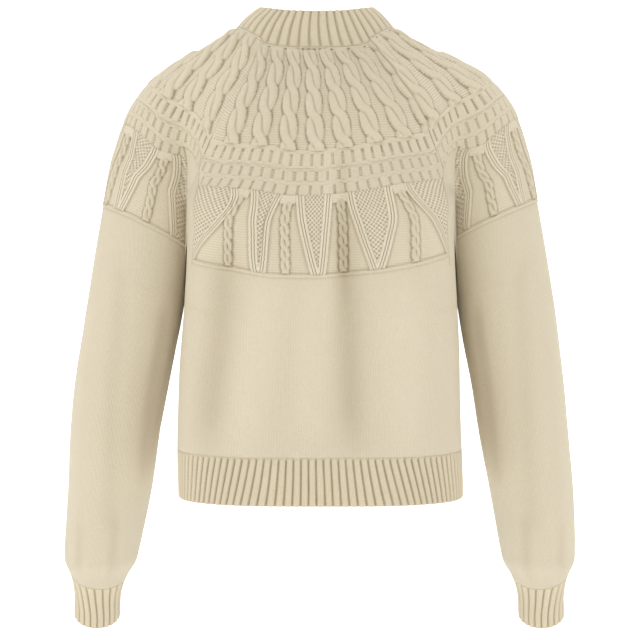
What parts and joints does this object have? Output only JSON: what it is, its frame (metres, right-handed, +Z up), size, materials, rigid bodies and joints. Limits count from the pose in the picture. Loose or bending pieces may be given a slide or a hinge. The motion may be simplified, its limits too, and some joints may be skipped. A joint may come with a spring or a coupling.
{
  "type": "cable-knit sweater",
  "caption": "Cropped round-yoke sweater with raglan seams, cable and wedge relief knit, ribbed neckband, hem and cuffs, in its worn hollow shape.",
  "frame": {"origin": "middle of the neck at the height of the shoulders, where the wearer holds the garment up", "axes": "+Z up, +Y to the wearer's front, +X to the wearer's right"},
  "size_m": [0.5853, 0.2935, 0.7128],
  "materials": {
    "body_knit": "matt cream wool knit with raised cables",
    "rib_knit": "matt cream wool rib knit"
  },
  "bodies": {
    "root": {"back_panel": "body_knit", "front_panel": "body_knit", "right_sleeve": "body_knit", "left_sleeve": "body_knit", "neckband": "rib_knit", "back_hem_rib": "rib_knit", "front_hem_rib": "rib_knit", "right_cuff": "rib_knit", "left_cuff": "rib_knit"}
  },
  "joints": []
}
